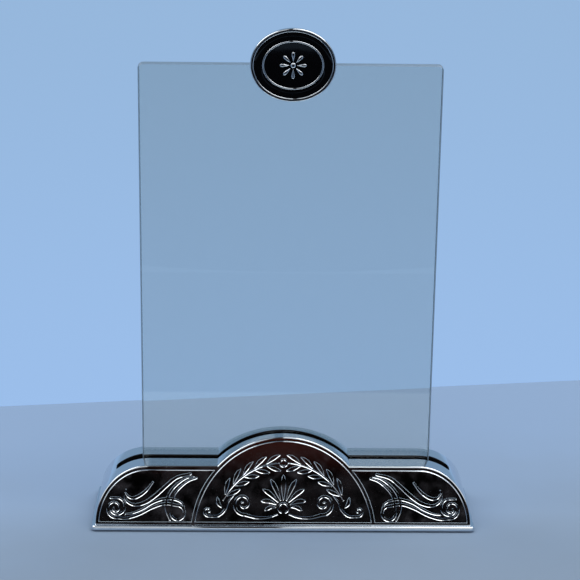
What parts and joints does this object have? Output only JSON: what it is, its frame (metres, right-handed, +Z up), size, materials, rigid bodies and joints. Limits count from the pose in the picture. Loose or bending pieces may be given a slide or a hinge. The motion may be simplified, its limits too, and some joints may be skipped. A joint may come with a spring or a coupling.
{
  "type": "tabletop glass photo display",
  "caption": "Free-standing photo display: clear glass panes upright in the lined slot of an arched chrome base, held at the top by an enamelled clip.",
  "frame": {"origin": "on the table under the middle of the base", "axes": "+Z up, +X to the right seen from the front, the decorated front faces -Y"},
  "size_m": [0.168, 0.0442, 0.2187],
  "materials": {
    "chrome_plate": "mirror polished",
    "clear_glass": "clear float glass with ground edges",
    "black_enamel": "glossy vitreous enamel",
    "black_felt": "pressed felt",
    "black_rubber": "matt",
    "spring_steel": "rolled strip",
    "zinc_steel": "zinc plated"
  },
  "bodies": {
    "base": {"base_casting": "chrome_plate", "centre_medallion": "chrome_plate", "medallion_retainer_left": "zinc_steel", "medallion_retainer_right": "zinc_steel", "base_plate": "chrome_plate", "base_screw_1": "zinc_steel", "base_screw_2": "zinc_steel", "base_screw_3": "zinc_steel", "base_screw_4": "zinc_steel", "felt_pad": "black_felt", "slot_liner_front": "black_felt", "slot_liner_rear": "black_felt", "glass_seat": "black_rubber"},
    "front_glass": {"front_pane": "clear_glass"},
    "rear_glass": {"rear_pane": "clear_glass"},
    "top_clip": {"badge_casting": "chrome_plate", "badge_enamel_ring": "black_enamel", "badge_enamel_centre": "black_enamel", "clip_spring": "spring_steel", "clip_rivet_left": "spring_steel", "clip_rivet_right": "spring_steel", "clip_pad_front": "black_felt", "clip_pad_rear": "black_felt"}
  },
  "joints": [
    {"name": "front_glass_lift", "type": "slide", "parent": "base", "child": "front_glass", "axis": [0, 0, 1], "range_m": [0, 0.05]},
    {"name": "rear_glass_lift", "type": "slide", "parent": "front_glass", "child": "rear_glass", "axis": [0, 0, 1], "range_m": [0, 0.05]},
    {"name": "clip_lift", "type": "slide", "parent": "rear_glass", "child": "top_clip", "axis": [0, 0, 1], "range_m": [0, 0.03]}
  ]
}
